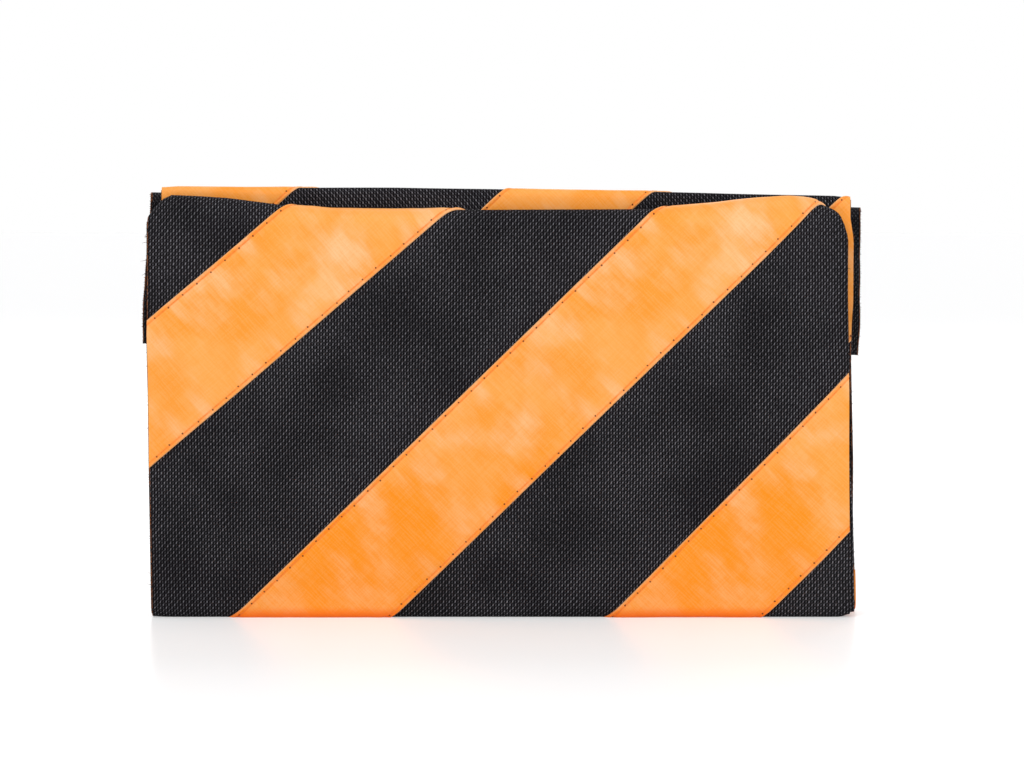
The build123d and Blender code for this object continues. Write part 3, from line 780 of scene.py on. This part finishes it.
def strip_mesh(line, s0, s1, end, number, lie, side):
    """One strip on the flat cloth, cut at the cloth's sides and at the ends of its stretch; None if it misses it."""
    x_at, s_at, _, half = line
    direction, square_to, run = axes_of(line)
    # The stretch of the strip, in t along it, that can lie on the cloth
    reach = (end + 60 * MM) / abs(direction.x)
    centre_t = -x_at / direction.x
    t0 = max((s0 - s_at) * run - 40 * MM, centre_t - reach)
    t1 = min((s1 - s_at) * run + 40 * MM, centre_t + reach)
    if t1 - t0 < 5 * MM:
        return None
    bm = bmesh.new()
    profile = [(-STRIP_HALF / MM + d, z) for d, z in HEM_PROFILE]
    profile += [(-w, z) for w, z in reversed(profile[:-1])]
    count = max(2, round((t1 - t0) / (2.2 * MM)))
    last = len(profile) - 1
    made = bmesh.ops.create_grid(bm, x_segments=count, y_segments=last, size=0.5)
    uv = bm.loops.layers.uv.new("strip")
    lift, free = lie
    scale = half / STRIP_HALF
    flat = {}
    for v in made["verts"]:
        t = t0 + (v.co.x + 0.5) * (t1 - t0)
        w, z = profile[round((v.co.y + 0.5) * last)]
        inward = STRIP_HALF / MM - abs(w)
        # Puckers start at the stitches, where the thread holds the strip down, and die out inwards.
        hem = -1 if w < 0 else 1
        drift = (inward - 3) * 0.35 * hem
        gather = noise.noise(Vector(((t / MM + drift) / 8.5, hem * 4.1, number * 3.1 + side)))
        gather += 0.5 * noise.noise(Vector(((t / MM - drift) / 19, hem * 2.3, number * 1.7 - side)))
        pull = ease(1.6, 4.0, inward) * (1 - ease(5.0, 19.0, inward))
        cross = noise.noise(Vector((t / (24 * MM) + w / 60, w / 32, number * 5.7 - side)))
        crease = 1 - min(1.0, abs(noise.noise(Vector((t / (34 * MM) - w / 45, w / 50, number * 2.9 + side)))) / 0.06)
        z = z * lift + free * (0.95 * pull * max(0.0, gather) + (0.65 * max(0.0, cross) + 0.16 * crease)
                               * ease(3.0, 11, inward))
        z += free * 0.12 * ease(0.0, 0.3, inward) * (1 - ease(1.0, 1.5, inward)) * noise.noise(
            Vector((t / (5 * MM), hem, number)))
        flat[v] = (t, w * MM)
        v.co = (t, w * MM * scale, z * MM)
    for face in bm.faces:
        for loop in face.loops:
            loop[uv].uv = flat[loop.vert]
    for v in made["verts"]:
        t, w = v.co.x, v.co.y
        v.co.x = x_at + direction.x * t + square_to.x * w
        v.co.y = s_at + direction.y * t + square_to.y * w
    for axis, place, drop in ((0, end, 1), (0, -end, -1), (1, s1, 1), (1, s0, -1)):
        cut(bm, axis, [place], drop)
    if not bm.faces:
        bm.free()
        return None
    cut(bm, 1, turn_rows(s0, s1))
    thicken(bm, -0.06 * MM)
    paint(bm, 0)
    return bm


def stitch(bm, place, angle, length, thick):
    """One stitch: a thin grain of thread that lies on the cloth."""
    matrix = Matrix.Translation(place) @ Matrix.Rotation(angle, 4, "Z")
    matrix = matrix @ Matrix.Diagonal((length / 2, thick, thick * 0.8, 1.0)) @ Matrix.Rotation(math.pi / 2, 4, "Y")
    bmesh.ops.create_uvsphere(bm, u_segments=6, v_segments=4, radius=1.0, matrix=matrix)


def stitch_places(line, s0, s1):
    """Places and direction of the stitches along both hems of a strip."""
    x_at, s_at, _, half = line
    direction, square_to, _ = axes_of(line)
    first = int(-0.9 / STITCH)
    for number in range(first, -first):
        t = (number + 0.5) * STITCH
        for way in (-1, 1):
            w = way * (STRIP_HALF - HEM) * half / STRIP_HALF
            x = x_at + direction.x * t + square_to.x * w
            s = s_at + direction.y * t + square_to.y * w
            if abs(x) < BAG_HALF - 3 * MM and s0 + 3 * MM < s < s1 - 3 * MM:
                yield x, s, math.atan2(direction.y, direction.x)


def turn_rows(s0, s1):
    """Rows that bend a strip round the folds inside its stretch."""
    rows = []
    for index, part in enumerate(COURSE):
        if isinstance(part, Turn):
            count = round(part.length / STRIP_ROW)
            rows += [STARTS[index] + part.length * n / count for n in range(count + 1)]
    rows += [STARTS[FRONT] + n * MM for n in range(1, 15)]
    return [s for s in rows if s0 < s < s1]


def make_strips():
    """Orange strips of each side of each fold, with their stitches."""
    for group, side in SIDES:
        s0, s1 = span_of(group, side)
        if group == "front":
            s0 = STARTS[FRONT] * 0.35 if side > 0 else along(FRONT, FRONT_EDGE - BARE)
        # At the rear the strips' ends come a little way out of the side seams.
        end = BAG_HALF
        if (group, side) == ("rear", 1):
            s1 = along(REAR, REAR_EDGE - BARE)
            end += 0.5 * MM
        whole = bmesh.new()
        whole.loops.layers.uv.new("strip")
        for number, line in enumerate(strips_of(side)):
            strip = strip_mesh(line, s0, s1, end, number, LIE[group, side], side)
            if not strip:
                continue
            join(whole, strip)
            stitches = bmesh.new()
            for x, s, angle in stitch_places(line, s0, s1):
                stitch(stitches, (x, s, 0.50 * MM * LIE[group, side][0]), angle, 5.0 * MM, 0.15 * MM)
            paint(stitches, 1)
            join(whole, stitches)
        piece = shaped(whole, f"{group}_{SIDE_NAMES[side]}_strips", ["satin", "thread"],
                       lambda x, s, h, side=side: fold(x, s, side * (PANEL / 2 + h)), sharp=60)
        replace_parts(piece, *STRIP_NODES[group, side])
        join_bodies(piece)
        on_it = [piece]
        if side < 0:
            on_it.append(group + "_side_seams")
        if (group, side) in ZIPPED:
            on_it += [group + "_loop_pile_tape", group + "_zip_woven_tapes"]


# ---- side seams and raw edges --------------------
def make_seams(settings):
    """Cloth edges turned in along the sides, with the loose threads of their raw edges."""
    draw = random.Random(11)
    names = {"front": ["front_end_side_seams"], "saddle": ["front_saddle_side_seams", "rear_saddle_side_seams"],
             "rear": ["rear_end_side_seams"]}
    for group in BENDS:
        s0, s1 = span_of(group, -1)
        bm = bmesh.new()
        for way in (-1, 1):
            part = bmesh.new()
            x0, x1 = sorted((way * (BAG_HALF - SEAM_WIDTH), way * (BAG_HALF + 0.35 * MM)))
            sheet_grid(part, x0, x1, rows_between(s0, s1), SEAM_HALF)
            thicken(part, -SEAM_HALF)
            join(bm, part)
            count = int((s1 - s0) / (THREAD_STEP * settings.fray_spacing))
            feet = [(Vector((way * (BAG_HALF + 0.1 * MM), s0 + (s1 - s0) * (number + draw.random()) / count,
                             draw.uniform(-0.8, 0.8) * MM)), way) for number in range(count)]
            loose_threads(bm, feet, draw)
        piece = shaped(bm, group + "_side_seams", ["oxford", "raw"],
                       lambda x, s, h: fold(x, s, h if abs(h) > 1e-6 else 1e-6))
        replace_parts(piece, *names[group])
        join_bodies(piece)


# ---- closing flaps --------------------
FLAP_STEP = 1.4 * MM       # how far a flap steps in below its hook tape
FLAP_THREADS = 90          # loose threads at each side of the rear flap


def make_flap(name, settings):
    """The closing flap of a pouch. The rear one comes over its mouth and reaches past the bag's sides."""
    low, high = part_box(name + "_flap")
    rear = name == "rear"
    half = (high.x - low.x) / 2
    middle_y = high.y - CLOTH / 2
    centre_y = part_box(name + "_mouth_fold")[0].y + MOUTH_R
    step_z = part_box(name + "_hook_tape")[1].z + 2 * MM
    top = REAR_EDGE if rear else FRONT_EDGE
    drop = top - low.z
    radius = MOUTH_R - CLOTH / 2
    arch = math.pi * radius if rear else 0.0
    rows = [arch * n / 14 for n in range(15)] if rear else [0.0]
    rows += [arch + drop * n / 24 for n in range(1, 25)]

    def hung(x, s, h):
        """Point of the flap for one of its flat cloth: over the mouth's arch, then down past a step by the tape."""
        if s < arch:
            a = math.pi * (1 - s / arch)
            y, z = centre_y + (radius + h) * math.cos(a), top + (radius + h) * math.sin(a)
        else:
            z = top - (s - arch)
            y = middle_y + h - FLAP_STEP * (1 - ease(step_z, step_z + 4 * MM, z))
        if not rear:
            return Vector((x, y, z + min(0.0, between(x, FRONT_MOUTH)) * (1 - ease(0, 25 * MM, s))))
        side = ease(BAG_HALF - 20 * MM, half, abs(x))
        fallen = ease(0, drop, s - arch)
        y += 0.5 * MM * wave(x, z, 40 * MM, 9) * ease(0, 30 * MM, s - arch) * (1 if h > 0 else 0.2)
        z += between(x, REAR_TILT) * (1 - fallen) + between(x, FLAP_LOW) * fallen
        # The side edges wave a little, draw in over the mouth and lean outwards on their way down.
        x += 0.15 * MM * wave(z, x * 0.1, 9 * MM, 21) * side
        x -= math.copysign(0.8 * MM, x) * side * (1 - ease(0.2 * arch, 0.8 * arch, s))
        if x < 0:
            x -= (0.8 - 3.6 * (1 - ease(0, 60 * MM, s))) * MM * side
        else:
            x += (2.0 - 0.75 * ease(drop - 14 * MM, drop, s - arch)) * MM * side
        return Vector((x, y, z))

    bm = bmesh.new()
    sheet_grid(bm, -half, half, rows, CLOTH / 2)
    raw_border(bm, half, settings.raw_width * 1.3, (-1, 1))
    thicken(bm, -CLOTH / 2)
    draw = random.Random(5)
    for way in (-1, 1) if rear else ():
        feet = [(Vector((way * half, arch * 0.6 + (drop + arch * 0.4) * (number + draw.random()) / FLAP_THREADS,
                         draw.uniform(-0.3, 0.3) * MM)), way) for number in range(FLAP_THREADS)]
        loose_threads(bm, feet, draw)
    piece = shaped(bm, name + "_closing_flap", ["flap", "raw"], hung)
    if rear:
        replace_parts(piece, "rear_flap", "rear_mouth_fold")
        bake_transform(piece)
    else:
        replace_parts(piece, "front_flap")
        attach(piece, "front_end")


# ---- closures --------------------
def tape_piece(name, lows, highs, finish, body, round_by):
    """Flat woven tapes with softened edges, one slab for each low and high corner."""
    bm = bmesh.new()
    for low, high in zip(lows, highs):
        part = bmesh.new()
        rows = [low.z + (high.z - low.z) * n / 10 for n in range(11)]
        sheet_grid(part, low.x, high.x, rows, 0.0)
        thicken(part, high.y - low.y)
        rim = [e for e in part.edges if e.calc_face_angle(0) > 1.2]
        bmesh.ops.bevel(part, geom=rim, offset=round_by, segments=2, affect="EDGES", profile=0.5, material=-1)
        for v in part.verts:
            v.co = (v.co.x, low.y + v.co.z, v.co.y)
        join(bm, part)
    paint(bm, 0)
    piece = shaped(bm, name, [finish])
    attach(piece, body)
    return piece


def make_closures():
    """Hook and loop tapes, zip tapes, and the finish of the teeth, stops, sliders and pulls."""
    for name in ("front", "rear"):
        end = name + "_end"
        flap_body = end if name == "front" else "rear_flap"
        low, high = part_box(name + "_loop_tape")
        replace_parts(tape_piece(name + "_loop_pile_tape", [low], [high], "loop", end, 0.3 * MM),
                    name + "_loop_tape")
        low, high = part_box(name + "_hook_tape")
        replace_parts(tape_piece(name + "_hook_rows_tape", [low], [high], "hook", flap_body, 0.3 * MM),
                    name + "_hook_tape")
        low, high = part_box(name + "_zip_tapes")
        middle = (low.z + high.z) / 2
        gap = 1.2 * MM
        lows = [low, Vector((low.x, low.y, middle + gap))]
        highs = [Vector((high.x, high.y, middle - gap)), high]
        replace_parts(tape_piece(name + "_zip_woven_tapes", lows, highs, "tape", end, 0.15 * MM),
                    name + "_zip_tapes")
        for node, finish in (("_zip_teeth", "plastic"), ("_zip_stops", "plastic"), ("_zip_slider", "metal"),
                             ("_zip_pull", "metal")):
            mesh = frame["nodes"][name + node].data
            mesh.materials.clear()
            mesh.materials.append(FINISHES[finish])


STRAP_WIDTH = 19 * MM
STRAP_BEND = 24 * MM       # radius of the strap's two bends


def make_handle():
    """Carrying strap of folded webbing, with its doubled ends stitched."""
    low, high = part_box("handle")
    width, thick = STRAP_WIDTH, high.y - low.y
    middle = (low.x + high.x) / 2
    reach = (high.x - low.x) / 2 - width / 2
    bottom = low.z + width / 2
    leg = high.z - bottom - STRAP_BEND
    arc = math.pi / 2 * STRAP_BEND
    total = 2 * (leg + arc + reach - STRAP_BEND)

    def strap(v, u, h):
        """Point of the strap: v across its middle line, u along it and h off its middle plane."""
        # Both halves are alike, so each is followed from its own end.
        way = -1 if u < total / 2 else 1
        end = min(u, total - u)
        if end < leg:
            place, heading = Vector((way * reach, high.z - end)), Vector((0, way))
        elif end < leg + arc:
            a = (end - leg) / STRAP_BEND
            place = Vector((way * (reach - STRAP_BEND + STRAP_BEND * math.cos(a)),
                            bottom + STRAP_BEND - STRAP_BEND * math.sin(a)))
            heading = Vector((math.sin(a), way * math.cos(a)))
        else:
            place, heading = Vector((way * (total / 2 - end), bottom)), Vector((1, 0))
        place += Vector((-heading.y, heading.x)) * v
        flare = 1 - 0.14 * ease(26 * MM, 34 * MM, end)
        return Vector((middle + place.x, (low.y + high.y) / 2 + h * flare, place.y))

    bm = bmesh.new()
    made = bmesh.ops.create_grid(bm, x_segments=10, y_segments=90, size=0.5)
    for v in made["verts"]:
        v.co = (v.co.x * width, (v.co.y + 0.5) * total, thick / 2)
    keep_flat(bm)
    thicken(bm, -thick / 2)
    paint(bm, 0)
    for v in bm.verts:
        v.co.z *= 1 - 0.55 * ease(width / 2 - 2.2 * MM, width / 2, abs(v.co.x))
    # Each end is stitched down in a box with a cross in it, on both faces.
    corners = [(-6.5, 3.0), (6.5, 3.0), (6.5, 27.0), (-6.5, 27.0)]
    lines = [(corners[n], corners[n - 1]) for n in range(4)] + [(corners[0], corners[2]), (corners[1], corners[3])]
    stitches = bmesh.new()
    for (v0, u0), (v1, u1) in lines:
        count = round(math.hypot(v1 - v0, u1 - u0) / 2.6)
        for number in range(count):
            share = (number + 0.5) / count
            v, u = (v0 + (v1 - v0) * share) * MM, (u0 + (u1 - u0) * share) * MM
            for far in (False, True):
                for face_way in (-1, 1):
                    at = Vector((v, total - u if far else u, face_way * (thick / 2 + 0.02 * MM)))
                    angle = math.atan2(u0 - u1 if far else u1 - u0, v1 - v0)
                    stitch(stitches, at, angle, 2.0 * MM, 0.14 * MM)
    paint(stitches, 1)
    join(bm, stitches)
    piece = shaped(bm, "carrying_strap", ["webbing", "black_thread"], strap)
    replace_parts(piece, "handle")
    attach(piece, "handle")


# ---- stage --------------------
LAMPS = (("top_left", (-0.9, -1.3, 1.3), 1.0, "key_power"), ("right", (1.3, -1.1, 0.7), 0.9, "fill_power"),
         ("behind", (0.2, 1.2, 1.2), 0.9, "rear_power"))     # each lamp's place, size and setting for its power
LAMP_TARGET = Vector((0, 0, 0.08))
CAMERA_TARGET = Vector((4.8 * MM, FRONT_FACE, 91 * MM))
CAMERA_REACH = 1.296       # metres from the camera to its target
CAMERA_LENS = 118.0        # mm, on a sensor 36 mm wide


def placed(name, data, place, target):
    """Lamp or camera in the scene, turned to a target."""
    made = bpy.data.objects.new(name, data)
    made.location = place
    made.rotation_euler = (target - made.location).to_track_quat("-Z", "Y").to_euler()
    bpy.context.scene.collection.objects.link(made)
    return made


def make_stage(settings):
    """White glossy table, white surroundings, soft lamps and the camera."""
    scene = bpy.context.scene
    scene.view_settings.view_transform = "Standard"
    scene.world = bpy.data.worlds.new("studio_white")
    scene.world.use_nodes = True
    scene.world.node_tree.nodes.clear()
    add = partial(add_node, scene.world.node_tree)
    # The surroundings are pure white where they are seen, and dimmer as a light.
    path = add("LightPath")
    seen = add("Math MAXIMUM", path.outputs["Is Camera Ray"],
               add("Math MAXIMUM", path.outputs["Is Glossy Ray"], path.outputs["Is Transmission Ray"]))
    white, dim = [add("Background", (1, 1, 1, 1), strength) for strength in (1.0, settings.surround)]
    add("OutputWorld", add("MixShader", seen, dim, white))
    bm = bmesh.new()
    bmesh.ops.create_grid(bm, x_segments=2, y_segments=2, size=6.0)
    mesh = bpy.data.meshes.new("white_table")
    bm.to_mesh(mesh)
    bm.free()
    table = bpy.data.objects.new("white_table", mesh)
    scene.collection.objects.link(table)
    made, add, shader = material("white_acrylic_table", {
        "Base Color": (0.93, 0.93, 0.94, 1), "Roughness": 0.26, "Specular IOR Level": 0.06})
    # A little light of its own, for the camera only, lifts the table to the white around it.
    lift = add("Math MULTIPLY", add("LightPath").outputs["Is Camera Ray"], settings.table_lift)
    total = add("AddShader", shader, add("Emission", (1, 1, 1, 1), lift))
    connect(total, made.node_tree.nodes["Material Output"].inputs["Surface"])
    mesh.materials.append(made)
    for name, place, size, power in LAMPS:
        lamp = bpy.data.lights.new("softbox_" + name, "AREA")
        lamp.shape = "SQUARE"
        lamp.size = size
        lamp.energy = getattr(settings, power)
        placed("softbox_" + name, lamp, place, LAMP_TARGET)
    camera = bpy.data.cameras.new("camera")
    camera.sensor_width = 36.0
    camera.lens = CAMERA_LENS
    camera.clip_end = 30
    lift = math.radians(settings.camera_lift)
    away = Vector((0, -math.cos(lift), math.sin(lift)))
    scene.camera = placed("camera", camera, CAMERA_TARGET + CAMERA_REACH * away, CAMERA_TARGET)


# ---- add-on --------------------
class WeightBagSettings(bpy.types.PropertyGroup):
    """Colours and light of the weight bag"""
    orange: StringProperty(name="Orange", description="Satin strip colour", default="#FFA94F")
    # Painted shade: the strips' colour towards the table and in broad darker patches.
    orange_shade: StringProperty(name="Deep orange", description="Strip colour in its folds and near the table",
                                default="#FF9512")
    # Painted highlight: the pale colour of the strips' puckering, streaks and edges.
    orange_highlight: StringProperty(name="Pale orange", description="Puckers and rubbed creases of the strips",
                                default="#FFCB98")
    # Also the painted shade where the strips meet the table.
    orange_hem_and_shade: StringProperty(name="Seam orange", description="Strip colour along its hems", default="#FF7A12")
    # Painted shade: the dark colour inside the needle holes.
    needle_hole_shade: StringProperty(name="Needle holes", description="Colour in the needle holes", default="#6A2A0A")
    cloth_dark: StringProperty(name="Cloth ground", description="Black cloth between thread tops", default="#060507")
    # Painted highlight: the glint colour of the black cloth's thread tops.
    thread_glint: StringProperty(name="Thread tops", description="Black cloth on its thread tops", default="#7C7A80")
    raw_edge: StringProperty(name="Raw edge", description="Yarn that shows at cut edges", default="#8A5230")
    weave_width: FloatProperty(name="Weave width", description="Width of one cell of the weave", default=0.00224,
                               subtype="DISTANCE", unit="LENGTH", precision=5)
    weave_height: FloatProperty(name="Weave height", description="Height of one cell of the weave", default=0.00257,
                                subtype="DISTANCE", unit="LENGTH", precision=5)
    raw_width: FloatProperty(name="Raw border", description="Width of frayed yarn along a cut edge", default=0.0003,
                             subtype="DISTANCE", unit="LENGTH", precision=5)
    fray_spacing: FloatProperty(name="Fray spacing", description="Spacing of loose threads, 1 is about 0.75 mm",
                                default=1.0, min=0.3, max=10.0)
    surround: FloatProperty(name="Surround light", description="Light from the white surroundings", default=0.55)
    table_lift: FloatProperty(name="Table brightness", description="Brightness added to the table for the camera",
                              default=0.285)
    key_power: FloatProperty(name="Left lamp", description="Power of the left softbox", default=12.5, unit="POWER")
    fill_power: FloatProperty(name="Right lamp", description="Power of the right softbox", default=9.7, unit="POWER")
    rear_power: FloatProperty(name="Rear lamp", description="Power of the softbox behind", default=8.0, unit="POWER")
    camera_lift: FloatProperty(name="Camera height angle", description="Degrees above the table", default=4.0)


class WEIGHTBAG_OT_stage(bpy.types.Operator):
    """Make the table, surroundings, lamps and camera"""
    bl_idname = "weightbag.stage"
    bl_label = "Stage"

    def execute(self, context):
        make_stage(context.scene.weight_bag)
        return {"FINISHED"}


class WEIGHTBAG_OT_finishes(bpy.types.Operator):
    """Make the materials"""
    bl_idname = "weightbag.finishes"
    bl_label = "Finishes"

    def execute(self, context):
        FINISHES.update(all_materials(context.scene.weight_bag))
        return {"FINISHED"}


class WEIGHTBAG_OT_cloths(bpy.types.Operator):
    """Make the black cloths of the four halves and their folds"""
    bl_idname = "weightbag.cloths"
    bl_label = "Cloths"

    def execute(self, context):
        make_cloths(context.scene.weight_bag)
        return {"FINISHED"}


class WEIGHTBAG_OT_strips(bpy.types.Operator):
    """Make the orange strips with their hems and stitches"""
    bl_idname = "weightbag.strips"
    bl_label = "Strips"

    def execute(self, context):
        make_strips()
        return {"FINISHED"}


class WEIGHTBAG_OT_seams(bpy.types.Operator):
    """Make the side seams and their loose threads"""
    bl_idname = "weightbag.seams"
    bl_label = "Side seams"

    def execute(self, context):
        make_seams(context.scene.weight_bag)
        return {"FINISHED"}


class WEIGHTBAG_OT_flaps(bpy.types.Operator):
    """Make the two closing flaps"""
    bl_idname = "weightbag.flaps"
    bl_label = "Closing flaps"

    def execute(self, context):
        for name in ("front", "rear"):
            make_flap(name, context.scene.weight_bag)
        return {"FINISHED"}


class WEIGHTBAG_OT_closures(bpy.types.Operator):
    """Make the tapes and finish the zips"""
    bl_idname = "weightbag.closures"
    bl_label = "Closures"

    def execute(self, context):
        make_closures()
        return {"FINISHED"}


class WEIGHTBAG_OT_handle(bpy.types.Operator):
    """Make the carrying strap"""
    bl_idname = "weightbag.handle"
    bl_label = "Carrying strap"

    def execute(self, context):
        make_handle()
        return {"FINISHED"}


OPERATORS = (WEIGHTBAG_OT_stage, WEIGHTBAG_OT_finishes, WEIGHTBAG_OT_cloths, WEIGHTBAG_OT_closures,
             WEIGHTBAG_OT_seams, WEIGHTBAG_OT_strips, WEIGHTBAG_OT_flaps, WEIGHTBAG_OT_handle)


class WEIGHTBAG_PT_panel(bpy.types.Panel):
    """Pieces of the weight bag"""
    bl_label = "Weight Bag"
    bl_idname = "WEIGHTBAG_PT_panel"
    bl_space_type = "VIEW_3D"
    bl_region_type = "UI"
    bl_category = "Weight Bag"

    def draw(self, context):
        for name in WeightBagSettings.__annotations__:
            self.layout.prop(context.scene.weight_bag, name)
        for operator in OPERATORS:
            self.layout.operator(operator.bl_idname)


CLASSES = (WeightBagSettings, *OPERATORS, WEIGHTBAG_PT_panel)


def register():
    for made in CLASSES:
        bpy.utils.register_class(made)
    bpy.types.Scene.weight_bag = PointerProperty(type=WeightBagSettings)


def unregister():
    del bpy.types.Scene.weight_bag
    for made in reversed(CLASSES):
        bpy.utils.unregister_class(made)


def main():
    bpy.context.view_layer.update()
    register()
    bpy.ops.weightbag.stage()
    bpy.ops.weightbag.finishes()
    bpy.ops.weightbag.cloths()
    bpy.ops.weightbag.closures()
    bpy.ops.weightbag.seams()
    bpy.ops.weightbag.strips()
    bpy.ops.weightbag.flaps()
    bpy.ops.weightbag.handle()


if __name__ == "__main__":
    main()
